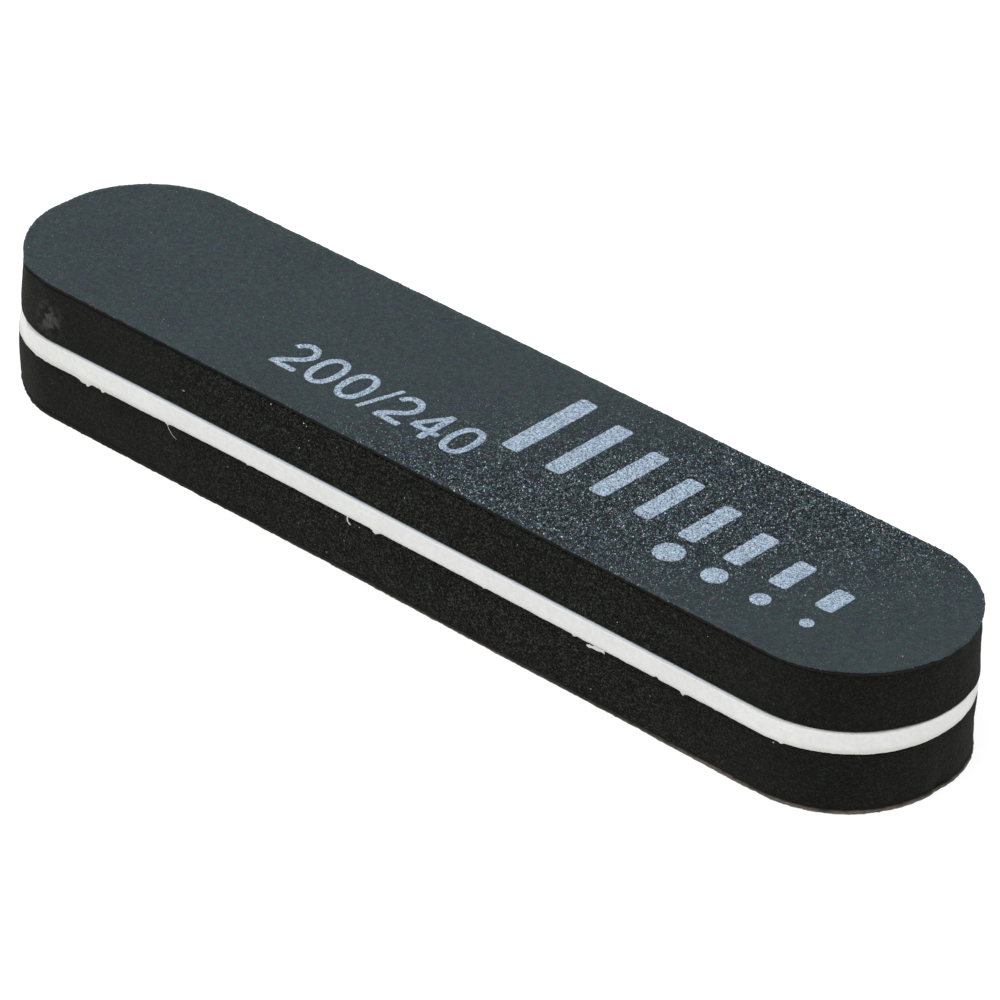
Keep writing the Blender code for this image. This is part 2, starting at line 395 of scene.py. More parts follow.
# ------------------------------------------------------------------ materials
def cast_of(n):
    """A grey-green binder's cast over a millimetre or so: green, rose and blue by turns.

    Where the binder covers the grain it is a little darker, warmer and blotched.
    """
    drift = n.noise(0.75, detail=2.0, rough=0.6)
    blues = n.noise(1.05, detail=2.0, rough=0.6, stretch=(0.9, 1.1, 1.0))
    cast = n.mix(n.range(drift.outputs["Fac"], 0.40, 0.60), (0.89, 1.06, 1.01), (1.11, 0.97, 0.99))
    cast = n.mix(n.range(blues.outputs["Fac"], 0.50, 0.64), cast, (0.97, 0.96, 1.11))
    covered = n.math("SUBTRACT", 1.0, grain_contrast(n))
    blotch = n.noise(0.55, detail=1.0)
    binder = n.scaled((0.967, 0.944, 0.890), n.range(blotch.outputs["Fac"], 0.3, 0.7, 0.84, 1.16))
    both = n.add("ShaderNodeVectorMath", operation="MULTIPLY")
    n.link(cast, both.inputs[0])
    n.link(n.mix(covered, (1.0, 1.0, 1.0), binder), both.inputs[1])
    return both.outputs[0], drift


def grain_contrast(n):
    """1 where the grain stands clear, in a band slanting over the face, less where the binder covers it."""
    at = n.separate(n.where)
    slant = n.math("SUBTRACT", at[0], n.math("MULTIPLY", at[1], 0.877))
    away = n.math("ABSOLUTE", n.math("SUBTRACT", slant, 0.018))
    return n.range(away, 0.004, 0.024, 1.0, 0.10, smooth=True)


def bedded(x, y):
    """0 where the grain stands clear of the binder, 1 where it is bedded deepest, in mm as above."""
    return np.clip((np.abs(x - 0.877 * y - 18.0) - 6.0) / 16.0, 0, 1)


def grit_material(name, dark, edge, edge_from, edge_to, strip, seed):
    """Crushed dark grain in a grey-green binder; paler and smoother at the cut rim.

    The cut edge has a colour of its own, from height edge_from to edge_to (mm).
    """
    n = Nodes(name)
    grain = n.voronoi(0.150, offset=(seed, 0, 0))
    fine = n.voronoi(0.085, offset=(0, seed, 0))
    number = n.separate(grain.outputs["Color"])
    fine_number = n.separate(fine.outputs["Color"])
    cloud = n.noise(5.0, detail=2.0)
    cast, drift = cast_of(n)
    tone = n.ramp(number[0], [(0.0, 0.04), (0.35, 0.07), (0.60, 0.12), (0.78, 0.20),
                              (0.90, 0.34), (1.0, 0.70)])
    gaps = n.range(grain.outputs["Distance"], 0.30, 0.80, 8.4, 3.2)
    shade = n.math("MULTIPLY", n.separate(tone)[0], gaps)
    shade = n.math("MULTIPLY", shade, n.range(fine_number[1], 0.0, 1.0, 0.35, 1.65))
    clear = grain_contrast(n)
    shade = n.math("ADD", n.math("MULTIPLY", shade, clear), n.math("SUBTRACT", 1.0, clear))
    shade = n.math("MULTIPLY", shade, n.range(cloud.outputs["Fac"], 0.3, 0.7, 0.93, 1.07))
    # the rim: binder fills the grain and dust from the cut lies on it
    frayed = n.math("ADD", n.outside(strip), n.range(drift.outputs["Fac"], 0.3, 0.7, -0.00016, 0.00016))
    rim = n.range(frayed, -0.00044, -0.00014, 0.0, 0.28, smooth=True)
    shade = n.math("ADD", n.math("MULTIPLY", shade, n.math("SUBTRACT", 1.0, rim)),
                   n.math("MULTIPLY", rim, n.range(fine_number[0], 0.0, 1.0, 0.3, 2.9)))
    colour = n.scaled(n.mix(rim, cast, (1.16, 1.0, 1.0)), shade)
    tinted = n.add("ShaderNodeVectorMath", operation="MULTIPLY")
    n.link(colour, tinted.inputs[0])
    tinted.inputs[1].default_value = dark
    # the cut edge, barer towards the +X end
    at = n.separate(n.where)
    share = n.math("MULTIPLY", n.range(at[2], edge_from * MM, edge_to * MM, 1.0, 0.0),
                   n.range(cloud.outputs["Fac"], 0.50, 0.60, 1.0, 0.7))
    barer = n.math("MULTIPLY", n.range(at[0], -0.030, 0.012, 0.20, 1.0, smooth=True),
                   n.range(at[0], 0.020, 0.032, 1.00, 1.40, smooth=True))
    cut = n.scaled(n.scaled(edge, barer), n.range(fine_number[2], 0.0, 1.0, 0.6, 1.4))
    n.link(n.mix(share, tinted.outputs[0], cut), n.shader.inputs["Base Color"])
    rough = n.range(fine_number[2], 0.0, 1.0, 0.35, 0.75)
    n.link(rough, n.shader.inputs["Roughness"])
    n.shader.inputs["Specular IOR Level"].default_value = 0.10
    height = n.math("MULTIPLY", n.math("SUBTRACT", 1.0, grain.outputs["Distance"]),
                    n.range(clear, 0.10, 1.0, 0.35, 1.0))
    bumped = n.bump(height, 0.8, 0.07)
    n.link(n.facets(fine.outputs["Color"], n.range(clear, 0.10, 1.0, 0.30, 0.90), bumped),
           n.shader.inputs["Normal"])
    return n.material


def crystal_material(name, stops, middle, casts, spec):
    """Single crushed grains, each one tone of its own from dark glass-like to milky about the middle one; the palest
    tones, up to white, are partly painted glints.
    """
    n = Nodes(name)
    each = n.add("ShaderNodeNewGeometry").outputs["Random Per Island"]
    tone = n.separate(n.ramp(each, stops))[0]
    clear = grain_contrast(n)
    tone = n.math("ADD", n.math("MULTIPLY", tone, clear),
                  n.math("MULTIPLY", n.math("SUBTRACT", 1.0, clear), middle))
    own = n.ramp(n.another(each, 57.31), casts, "CONSTANT")
    flaw = n.noise(0.05, detail=1.0)
    tone = n.math("MULTIPLY", tone, n.range(flaw.outputs["Fac"], 0.3, 0.7, 0.60, 1.40))
    both = n.add("ShaderNodeVectorMath", operation="MULTIPLY")
    n.link(own, both.inputs[0])
    n.link(cast_of(n)[0], both.inputs[1])
    n.link(n.scaled(both.outputs[0], tone), n.shader.inputs["Base Color"])
    n.link(n.range(n.another(each, 113.7), 0.0, 1.0, 0.22, 0.55), n.shader.inputs["Roughness"])
    n.shader.inputs["Specular IOR Level"].default_value = spec
    return n.material


def foam_material():
    """Fine closed-cell black foam, matte, with a little paper dust and a few painted glints on its cut side."""
    n = Nodes("foam_cut_side")
    cell = n.voronoi(0.16)
    small = n.voronoi(0.110, offset=(3, 0, 0))
    cloud = n.noise(2.2, detail=3.0, rough=0.6)
    cell_number = n.separate(small.outputs["Color"])
    tone = n.math("MULTIPLY", n.range(cell.outputs["Distance"], 0.20, 0.80, 0.80, 1.20),
                  n.math("MULTIPLY", n.range(cell_number[0], 0.0, 1.0, 0.0, 2.0),
                         n.range(cell_number[1], 0.0, 1.0, 0.0, 2.0)))
    # the open cells stand clear along the middle and are filled with dust towards the ends
    clear = n.range(n.math("ABSOLUTE", n.math("SUBTRACT", n.separate(n.where)[0], 0.004)),
                    0.014, 0.036, 1.45, 0.45, smooth=True)
    tone = n.math("MAXIMUM", n.math("ADD", n.math("MULTIPLY", tone, clear), n.math("SUBTRACT", 1.0, clear)), 0.0)
    tone = n.math("MULTIPLY", tone, n.range(cloud.outputs["Fac"], 0.35, 0.65, 0.88, 1.12))
    colour = n.scaled((0.0079, 0.0087, 0.0070), tone)
    # dust: a smear near the rounded end; a few pale specks, partly dust and partly painted glints on the foam cells
    smear = n.noise(0.75, detail=2.0, rough=0.6)
    smear = n.math("MULTIPLY", n.near((-36.5, -9.6, 8.85), 2.2),
                   n.range(smear.outputs["Fac"], 0.45, 0.60, 0.0, 1.0))
    colour = n.mix(smear, colour, (0.058, 0.058, 0.056))
    # pale specks: partly dust, partly painted glints of the foam cells
    pale_speck = n.voronoi(0.95, offset=(0, 5, 0))
    pale_speck_number = n.separate(pale_speck.outputs["Color"])
    dust_and_glint = n.math("MULTIPLY", n.range(pale_speck.outputs["Distance"], 0.045, 0.085, 1.0, 0.0),
                  n.range(pale_speck_number[0], 0.50, 0.98, 0.0, 0.8))
    dust_and_glint = n.math("MULTIPLY", dust_and_glint, n.range(clear, 0.45, 1.45, 0.25, 1.0))
    colour = n.mix(dust_and_glint, colour, (0.26, 0.26, 0.24))
    n.link(colour, n.shader.inputs["Base Color"])
    n.shader.inputs["Roughness"].default_value = 0.9
    n.shader.inputs["Specular IOR Level"].default_value = 0.10
    n.shader.inputs["Sheen Weight"].default_value = 0.02
    n.shader.inputs["Sheen Roughness"].default_value = 0.45
    n.shader.inputs["Sheen Tint"].default_value = (0.93, 0.93, 0.84, 1.0)
    height = n.math("ADD", n.math("MULTIPLY", cell.outputs["Distance"], 0.7),
                    n.math("MULTIPLY", small.outputs["Distance"], 0.5))
    n.link(n.bump(height, 0.9, 0.10), n.shader.inputs["Normal"])
    return n.material


def core_material():
    """White stiff plastic, die-cut: faint mottle, grey rub marks, a warmer lower edge with painted shade, and painted
    bluish shade along the upper edge.
    """
    n = Nodes("core_white_plastic")
    fine = n.noise(0.35, detail=3.0, rough=0.6)
    broad = n.noise(3.0, detail=2.0)
    streak = n.noise(0.30, detail=2.0, stretch=(1.0, 1.0, 0.14))
    height = n.separate(n.where)[2]
    low = n.range(height, 0.00535, 0.00585, 1.0, 0.0, smooth=True)
    high = n.range(height, 0.00700, 0.00716, 0.0, 1.0)
    face = n.mix(n.range(fine.outputs["Fac"], 0.35, 0.7), (0.735, 0.733, 0.715), (0.660, 0.658, 0.640))
    face = n.mix(n.range(broad.outputs["Fac"], 0.4, 0.75, 0.0, 0.35), face, (0.64, 0.64, 0.63))
    # painted shade: the rounded lower edge faces down, so it is painted darker, along with a real warmer tint
    face = n.mix(n.math("MULTIPLY", low, 0.7), face, (0.55, 0.545, 0.50))
    # painted shade and sky light: the top edge, shaded by the foam above, is painted darker and bluish
    face = n.mix(n.math("MULTIPLY", high, 0.8), face, (0.70, 0.73, 0.76))
    # a little brighter towards the +X end; the speck of dust high on the near side is greyer than the rest
    face = n.scaled(face, n.range(n.separate(n.where)[0], 0.030, 0.038, 1.0, 1.05))
    face = n.mix(n.near((-21.7, -9.6, 8.9), 0.8), face, (0.17, 0.17, 0.165))
    n.link(face, n.shader.inputs["Base Color"])
    n.shader.inputs["Roughness"].default_value = 0.5
    n.shader.inputs["Specular IOR Level"].default_value = 0.4
    n.shader.inputs["Subsurface Weight"].default_value = 0.15
    n.shader.inputs["Subsurface Radius"].default_value = (0.4, 0.38, 0.33)
    n.shader.inputs["Subsurface Scale"].default_value = 0.001
    rise = n.math("ADD", n.math("MULTIPLY", streak.outputs["Fac"], 0.6), fine.outputs["Fac"])
    n.link(n.bump(rise, 0.35, 0.05), n.shader.inputs["Normal"])
    return n.material


def paper_material(name, dark, pale, brown=None):
    """Latex-treated backing paper, seen at its cut fibres; brown is the bare colour towards the +X end."""
    n = Nodes(name)
    fibre = n.noise(0.16, detail=3.0, rough=0.7, stretch=(0.35, 0.35, 1.6))
    patch = n.noise(1.4, detail=2.0)
    colour = n.mix(n.range(fibre.outputs["Fac"], 0.35, 0.68), dark, pale)
    colour = n.mix(n.range(patch.outputs["Fac"], 0.35, 0.7, 0.0, 0.4), colour, dark)
    if brown:
        at = n.separate(n.where)
        bare = n.math("MULTIPLY", n.range(at[0], -0.030, 0.012, 0.0, 1.0, smooth=True),
                      n.range(patch.outputs["Fac"], 0.42, 0.60, 1.0, 0.55))
        rise = n.math("ADD", at[2], n.range(at[0], 0.020, 0.032, 0.00012, 0.0, smooth=True))
        rise = n.math("ADD", rise, n.range(patch.outputs["Fac"], 0.44, 0.60, 0.0, 0.00009))
        bare = n.math("MULTIPLY", bare, n.range(rise, 0.00021, 0.00031, 1.0, 0.30))
        paler = n.math("MULTIPLY", n.range(at[0], 0.020, 0.032, 0.75, 1.50, smooth=True),
                       n.range(fibre.outputs["Fac"], 0.35, 0.68, 0.70, 1.30))
        colour = n.mix(bare, colour, n.scaled(brown, paler))
    n.link(colour, n.shader.inputs["Base Color"])
    n.shader.inputs["Roughness"].default_value = 0.85
    n.shader.inputs["Specular IOR Level"].default_value = 0.15
    n.link(n.bump(fibre.outputs["Fac"], 0.6, 0.05), n.shader.inputs["Normal"])
    return n.material


def adhesive_material(name, strip, inset):
    """Yellowish film of set adhesive, a little uneven; its tacky cut edge, set back in the seam, is painted near
    black as shade.
    """
    n = Nodes(name)
    uneven = n.noise(0.5, detail=2.0)
    colour = n.mix(n.range(uneven.outputs["Fac"], 0.35, 0.65), (0.30, 0.28, 0.23), (0.50, 0.47, 0.38))
    painted_recess_shade = n.range(n.outside(strip), -(inset + 0.60) * MM, -(inset + 0.35) * MM)
    # painted shade: the cut edge sits back in the seam, so it is painted near black
    colour = n.mix(painted_recess_shade, colour, (0.0085, 0.0090, 0.0075))
    n.link(colour, n.shader.inputs["Base Color"])
    n.link(n.range(uneven.outputs["Fac"], 0.3, 0.7, 0.5, 0.7), n.shader.inputs["Roughness"])
    n.shader.inputs["Specular IOR Level"].default_value = 0.12
    n.link(n.bump(uneven.outputs["Fac"], 0.3, 0.03), n.shader.inputs["Normal"])
    return n.material


def ink_material():
    """Pale blue-grey ink that sits on the grain and misses its deepest pits."""
    n = Nodes("print_ink_on_grain")
    grain = n.voronoi(0.095, offset=(1, 0, 0))
    number = n.separate(grain.outputs["Color"])
    pit = n.voronoi(0.140, offset=(0, 2, 0))
    pit_number = n.separate(pit.outputs["Color"])
    wear = n.noise(1.6, detail=2.0)
    ink = n.mix(number[0], (0.075, 0.12, 0.18), (0.57, 0.70, 0.84))
    ink = n.mix(n.range(wear.outputs["Fac"], 0.4, 0.75, 0.0, 0.25), ink, (0.22, 0.28, 0.36))
    missed = n.math("MULTIPLY", n.range(pit.outputs["Distance"], 0.30, 0.52, 1.0, 0.0),
                    n.range(pit_number[0], 0.45, 0.90, 0.0, 0.95))
    colour = n.mix(missed, ink, (0.045, 0.062, 0.085))
    n.link(colour, n.shader.inputs["Base Color"])
    n.shader.inputs["Roughness"].default_value = 0.55
    n.shader.inputs["Specular IOR Level"].default_value = 0.3
    n.link(n.facets(grain.outputs["Color"], 0.45, n.bump(grain.outputs["Distance"], 0.5, 0.05)),
           n.shader.inputs["Normal"])
    return n.material


GRIT_TOP = grit_material("grit_coat_upper", (0.0300, 0.0445, 0.0510), (0.008, 0.008, 0.008),
                         12.000, 12.012, TOP_SHEET, 1.0)
GRIT_BOTTOM = grit_material("grit_coat_lower", (0.0210, 0.0300, 0.0345), (0.118, 0.104, 0.084),
                            0.034, 0.022, BOTTOM_SHEET, 4.0)
NEUTRALS = [(0.0, (0.85, 1.0, 1.07)), (0.30, (0.88, 1.0, 1.04)), (0.55, (0.90, 1.0, 1.03)),
            (0.76, (0.86, 0.98, 1.09)), (0.88, (0.87, 1.0, 1.02)), (0.97, (0.95, 0.95, 0.93))]
# the palest tones of these grains, up to white, are partly painted glints
CRYSTAL = crystal_material(
    "crushed_grain",
    [(0.0, 0.006), (0.37, 0.024), (0.60, 0.090), (0.78, 0.26), (0.91, 0.68), (1.0, 1.0)], 0.13, NEUTRALS, 0.22)
FINE_CRYSTAL = crystal_material(
    "finest_grain", [(0.0, 0.006), (0.45, 0.030), (0.68, 0.16), (0.86, 0.60), (1.0, 1.0)], 0.13, NEUTRALS, 0.22)
# painted glints: these grains get pale tones up to white to stand for sparkle, besides their real high specular
GLINT = crystal_material("shiny_painted_glint_grain",[(0.0, 0.25), (0.5, 0.60), (1.0, 1.0)], 0.25, NEUTRALS, 0.95)
INKED_CRYSTAL = crystal_material(
    "inked_grain",
    [(0.0, 0.006), (0.32, 0.024), (0.45, 0.36), (0.62, 0.98), (1.0, 1.0)], 0.50,
    [(0.0, (0.66, 0.82, 1.0)), (0.5, (0.74, 0.86, 1.0)), (0.9, (0.86, 0.93, 1.0))], 0.25)
FOAM = foam_material()
CORE = core_material()
UPPER_PAPER = paper_material("backing_paper_upper", (0.005, 0.005, 0.005), (0.014, 0.015, 0.014))
LOWER_PAPER = paper_material("backing_paper_lower", (0.009, 0.009, 0.008), (0.020, 0.019, 0.016),
                             (0.080, 0.070, 0.055))
TOP_FILM = adhesive_material("set_adhesive_upper_film", TOP_SHEET, 0.10)
BOTTOM_FILM = adhesive_material("set_adhesive_lower_film", BOTTOM_SHEET, 0.10)
UPPER_BOND = adhesive_material("set_adhesive_upper_bond", UPPER_FOAM, 0.12)
LOWER_BOND = adhesive_material("set_adhesive_lower_bond", LOWER_FOAM, 0.12)
INK = ink_material()


# ------------------------------------------------------------------ layers
def heights(node):
    low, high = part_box(node)
    return low.z / MM, high.z / MM


def droop(x):
    """How far the core's ends hang below its middle, in mm: the board is slightly arched."""
    return -0.24 * np.clip((np.abs(x) - 20.0) / 24.0, 0, 1.1) ** 1.8


def bell(x, middle, width):
    return np.exp(-((x - middle) / width) ** 2)


def round_ends(x, y):
    """Degrees round the +X and the -X end: 0 at the tip, -90 at the near side and all along it."""
    return (np.degrees(np.arctan2(y, np.maximum(x - 36.1, 1e-3))),
            np.degrees(np.arctan2(y, np.maximum(-36.1 - x, 1e-3))))


def wander(layer, x, y):
    """Slow outward wander of a cut side, in mm: the blade does not keep to the outline exactly."""
    near, far = np.clip(-y / 4, 0, 1), np.clip(y / 4, 0, 1)
    turn, left = round_ends(x, y)
    if layer == "top":
        tip = (0.22 * bell(turn, -4, 9) + 0.14 * bell(turn, 9, 6) - 0.07 * bell(turn, -50, 20)
               - 0.12 * bell(turn, 33, 10) - 0.10 * bell(turn, 52, 14) - 0.08 * bell(turn, 68, 10))
        tip = tip + 0.12 * bell(left, -12, 13) + 0.22 * bell(left, -65, 7) + 0.06 * bell(left, -26, 6)
        return (near * (-0.06 - 0.07 * bell(x, 40.5, 3.5))
                + far * (0.05 + 0.12 * bell(x, -8, 12) - 0.09 * bell(x, 19, 5)) + tip)
    if layer == "bottom":
        tip = (0.12 * bell(turn, 8, 11) + 0.07 * bell(turn, 28, 9) + 0.08 * bell(turn, -11, 6)
               + 0.07 * bell(turn, -55, 25) - 0.11 * bell(left, -62, 12))
        return near * (0.05 - 0.11 * bell(x, -9, 12) + 0.15 * bell(x, 34, 7) + 0.04 * bell(x, 18, 12)) + tip
    return near * -0.09 * bell(x, 41, 3.5) + 0.08 * bell(turn, 0, 12)


def corner_recess(x, y):
    """How much less proud the core's upper edge is on the diagonal corners, in mm."""
    turn, left = round_ends(x, y)
    right_side = 0.38 * np.clip((turn - 14) / 12, 0, 1) * np.clip((80 - turn) / 20, 0, 1)
    left_side = 0.52 * np.clip((left + 72) / 12, 0, 1) * np.clip((20 - left) / 20, 0, 1) * (x < -36.1)
    return right_side + left_side


def corner_lip(x, y):
    """How far the core's lower lip hangs over the lower pad on the diagonal corners, in mm."""
    turn, left = round_ends(x, y)
    return 0.68 * bell(left, -36, 16) * (x < -36.1) - 0.08 * bell(turn, 40, 20) * (x > 36.1)


# ------------------------------------------------------------------ abrasive coats
class GritCoat:
    """A sheet of grain with a real rough face; up is 1 for the upper coat, -1 for the lower."""

    PITCH = 0.136

    def __init__(self, name, node, strip, material, slot, up, seed):
        self.strip, self.up, self.seed = strip, up, seed
        z_low, z_high = heights(node)
        self.face_z = z_high if up > 0 else z_low
        self.back_z = z_low if up > 0 else z_high
        s = self.PITCH
        nx, ny = int(strip.hx / s) + 2, int(strip.hy / s) + 2
        self.x0, self.y0 = strip.cx - nx * s, strip.cy - ny * s
        self.columns, self.rows = 2 * nx + 1, 2 * ny + 1
        gx = self.x0 + np.arange(self.columns) * s
        gy = self.y0 + np.arange(self.rows) * s
        x, y = [a.ravel() for a in np.meshgrid(gx, gy, indexing="ij")]
        self.height = self.relief(x, y).reshape(self.columns, self.rows)
        depth, _, _ = strip.depth(x, y)
        inside = (depth < -0.30 * s).reshape(self.columns, self.rows)
        whole = inside[:-1, :-1] & inside[1:, :-1] & inside[1:, 1:] & inside[:-1, 1:]
        ci, cj = np.nonzero(whole)
        at = lambda i, j: i * self.rows + j
        quads = np.stack([at(ci, cj), at(ci + 1, cj), at(ci + 1, cj + 1), at(ci, cj + 1)], 1)
        used, quads = np.unique(quads, return_inverse=True)
        quads = quads.reshape(-1, 4)
        x, y, z = x[used].copy(), y[used].copy(), self.height.ravel()[used].copy()
        rim = self.boundary(quads)
        # the rim of the staircase goes out to the cut outline, ragged by a grain
        d, ox, oy = strip.depth(x[rim], y[rim])
        edge = np.column_stack([x[rim], y[rim], np.zeros(len(rim))])
        ragged = (0.034 * lumps(edge, 0.20, seed + 20) + 0.030 * lumps(edge, 0.55, seed + 21)
                  + wander("top" if up > 0 else "bottom", x[rim], y[rim]))
        x[rim] += ox * (-d + ragged - 0.010)
        y[rim] += oy * (-d + ragged - 0.010)
        z[rim] -= 0.008 * up
        self.rim_top = np.column_stack([x[rim], y[rim], z[rim]])
        points = [np.column_stack([x, y, z])]
        total = len(x)
        count = len(rim)
        # the cut edge of the coat, down to the paper
        loops = [rim]
        for k, (share, out) in enumerate(((0.45, 0.012), (1.0, -0.010))):
            level = self.rim_top.copy()
            wall = self.face_z + (self.back_z - self.face_z) * share
            push = out + 0.022 * lumps(edge + 7.3 * (k + 1), 0.16, seed + 23 + k)
            level[:, 0] += ox * push
            level[:, 1] += oy * push
            level[:, 2] = wall
            points.append(level)
            loops.append(total + np.arange(count))
            total += count
        points = np.concatenate(points)
        sides = []
        for a, b in zip(loops, loops[1:]):
            i = np.arange(count)
            j = (i + 1) % count
            sides.append(np.stack([b[i], b[j], a[j], a[i]], 1))
        quads = np.concatenate([quads] + sides)
        back = loops[-1][::-1]
        polygons = [back]
        if up < 0:
            quads, polygons = quads[:, ::-1], [back[::-1]]
        self.piece = make_piece(name, points, quads, polygons, material, [node])

    def relief(self, x, y):
        """Height of the grain over the plan, in mm."""
        p = np.column_stack([x, y, np.full(len(x), 0.31)])
        grain, number = cells(p, 0.27, self.seed + 2)
        rise = 0.016 * lumps(p, 0.19, self.seed) + 0.010 * lumps(p, 0.9, self.seed + 1)
        rise += 0.034 * np.clip(0.62 - grain, 0, 1) * (number - 0.15)
        d, _, _ = self.strip.depth(x, y)
        rise -= 0.010 * np.clip(1 + d / 0.35, 0, 1) ** 2
        rise += (hashed((x * 997).astype(np.int64), (y * 991).astype(np.int64), 0 * x.astype(np.int64), self.seed + 9) - 0.5) * 0.018
        return self.face_z + self.up * (rise - 0.006)

    @staticmethod
    def boundary(quads):
        """The edge loop round a field of quads, anticlockwise, as point numbers."""
        a = quads.ravel()
        b = np.roll(quads, -1, axis=1).ravel()
        size = int(quads.max()) + 1
        key, back = a.astype(np.int64) * size + b, b.astype(np.int64) * size + a
        alone = ~np.isin(key, back)
        follow = dict(zip(a[alone].tolist(), b[alone].tolist()))
        first = next(iter(follow))
        loop = [first]
        while follow[loop[-1]] != first:
            loop.append(follow[loop[-1]])
        return np.array(loop)

    def height_at(self, x, y):
        """Highest grain of the mesh close to each point."""
        i = np.clip(((x - self.x0) / self.PITCH).astype(int), 0, self.columns - 2)
        j = np.clip(((y - self.y0) / self.PITCH).astype(int), 0, self.rows - 2)
        u = (x - self.x0) / self.PITCH - i
        v = (y - self.y0) / self.PITCH - j
        h = self.height
        mean = (h[i, j] * (1 - u) * (1 - v) + h[i + 1, j] * u * (1 - v)
                + h[i + 1, j + 1] * u * v + h[i, j + 1] * (1 - u) * v)
        top = np.maximum.reduce([h[i, j], h[i + 1, j], h[i + 1, j + 1], h[i, j + 1]])
        return 0.5 * mean + 0.5 * top


upper_coat = GritCoat("upper_grain_face", "top_grit_coat", TOP_SHEET, GRIT_TOP, "top_grit", 1, 100)
lower_coat = GritCoat("lower_grain_face", "bottom_grit_coat", BOTTOM_SHEET, GRIT_BOTTOM, "bottom_grit", -1, 200)


# ------------------------------------------------------------------ papers and films
def cut_sheet(name, node, strip, inset, ragged, lump, material, seed, arched=False):
    """A thin cut sheet whose edge wanders and frays a little."""
    z_low, z_high = heights(node)
    levels = ((z_low, -0.010), (z_low + 0.35 * (z_high - z_low), 0.004),
              (z_low + 0.7 * (z_high - z_low), 0.0), (z_high, -0.012))
    rings, normals = shell_points(strip, [(z, grow - inset) for z, grow in levels], 0.14)
    count = len(normals)
    for k, ring in enumerate(rings):
        push = ragged * lumps(ring + 3.1 * k, lump, seed + k) + 1.2 * ragged * lumps(ring, 1.7, seed + 9)
        if arched:
            ring[:, 2] += droop(ring[:, 0])
        else:
            push += wander("bottom" if strip is BOTTOM_SHEET else "top", ring[:, 0], ring[:, 1])
        ring[:, :2] += normals * push[:, None]
    points = np.concatenate(rings)
    quads = np.concatenate([ring_faces(len(rings), count),
                            caps(0, (len(rings) - 1) * count, strip, 0.14)])
    return make_piece(name, points, quads, [], material, [node])


cut_sheet("upper_paper_sheet", "top_backing_paper", TOP_SHEET, 0.015, 0.024, 0.20, UPPER_PAPER, 310)
cut_sheet("lower_paper_sheet", "bottom_backing_paper", BOTTOM_SHEET, 0.015, 0.020, 0.20, LOWER_PAPER, 320)
cut_sheet("upper_sheet_film", "top_adhesive_film", TOP_SHEET, 0.10, 0.02, 0.5, TOP_FILM, 330)
cut_sheet("lower_sheet_film", "bottom_adhesive_film", BOTTOM_SHEET, 0.10, 0.02, 0.5, BOTTOM_FILM, 340)
cut_sheet("upper_core_bond", "upper_core_adhesive", UPPER_FOAM, 0.12, 0.05, 0.6, UPPER_BOND, 350, True)
cut_sheet("lower_core_bond", "lower_core_adhesive", LOWER_FOAM, 0.12, 0.05, 0.6, LOWER_BOND, 360, True)

# ------------------------------------------------------------------ foam pads
# outward offsets of the cut side: at the core, extra at mid height, and at the sheet
UPPER_FOAM_SIDE = (0.10, 0.03, -0.12)
LOWER_FOAM_SIDE = (0.02, 0.09, -0.05)


def side_offset(side, t):
    """How far the cut side stands out at t, 0 at the core and 1 at the sheet."""
    at_core, bulge, at_sheet = side
    return at_core * (1 - t) + bulge * math.sin(math.pi * t) + at_sheet * t ** 2


def foam_pad(name, node, strip, side, neck_at_top, seed):
    """Foam cushion: pulled in at the sheet, fuller below, with open cells on its cut side."""
    z_low, z_high = heights(node)
    rows = 37
    profile = []
    for k in range(rows):
        share = k / (rows - 1)
        t = share if neck_at_top else 1 - share
        profile.append((z_low + (z_high - z_low) * share, side_offset(side, t)))
    rings, normals = shell_points(strip, profile, 0.135)
    count = len(normals)
    for k, ring in enumerate(rings):
        share = k / (rows - 1)
        t = share if neck_at_top else 1 - share
        calm = min(1.0, 6 * share + 0.25, 6 * (1 - share) + 0.25)
        cell, number = cells(ring, 0.24, seed)
        pore = np.clip(0.55 - cell, 0, 1) * np.where(number > 0.45, number, 0.0)
        push = (-0.055 * pore + 0.010 * lumps(ring, 0.17, seed + 5)
                + 0.012 * lumps(ring, 0.8, seed + 6)) * calm
        push += 0.030 * lumps(ring, (9.0, 9.0, 5.0), seed + 7) + 0.014 * lumps(ring, (2.6, 2.6, 9.0), seed + 8)
        x, y = ring[:, 0], ring[:, 1]
        turn, left = round_ends(x, y)
        if neck_at_top:      # pressed out over the core at one end
            push += 0.22 * (1 - t) ** 1.5 * np.clip((x - 43.4) / 1.2, 0, 1) * np.clip((y + 4.5) / 3.0, 0, 1)
            push += (1 - t) ** 1.5 * (0.13 * bell(turn, 2, 10) - 0.09 * bell(x, 39.5, 3.5) * (y < 0))
            push += 0.07 * bell(turn, 40, 18) * bell(t, 0.66, 0.12) + 0.06 * bell(turn, 35, 18) * bell(t, 0, 0.12)
            push += wander("top", x, y) * t ** 3
            push -= 0.08 * bell(x, -43.5, 2.5) * bell(t, 0.55, 0.4) * (y < 0)
        else:
            push += wander("bottom", x, y) * t
            push += 0.05 * (bell(turn, -20, 25) + bell(left, -60, 20)) * (1 - t) ** 2
            push -= 0.16 * bell(x, 43.2, 2.0) * bell(t, 0.5, 0.25) * np.clip(y / 2, 0, 1)
        ring[:, :2] += normals * push[:, None]
        ring[:, 2] += droop(ring[:, 0]) * (1 - t)
    points = np.concatenate(rings)
    quads = np.concatenate([ring_faces(rows, count), caps(0, (rows - 1) * count, strip, 0.135)])
    pad = make_piece(name, points, quads, [], FOAM, [node])
    return pad


foam_pad("upper_foam_cushion", "upper_foam_pad", UPPER_FOAM, UPPER_FOAM_SIDE, True, 400)
foam_pad("lower_foam_cushion", "lower_foam_pad", LOWER_FOAM, LOWER_FOAM_SIDE, False, 440)

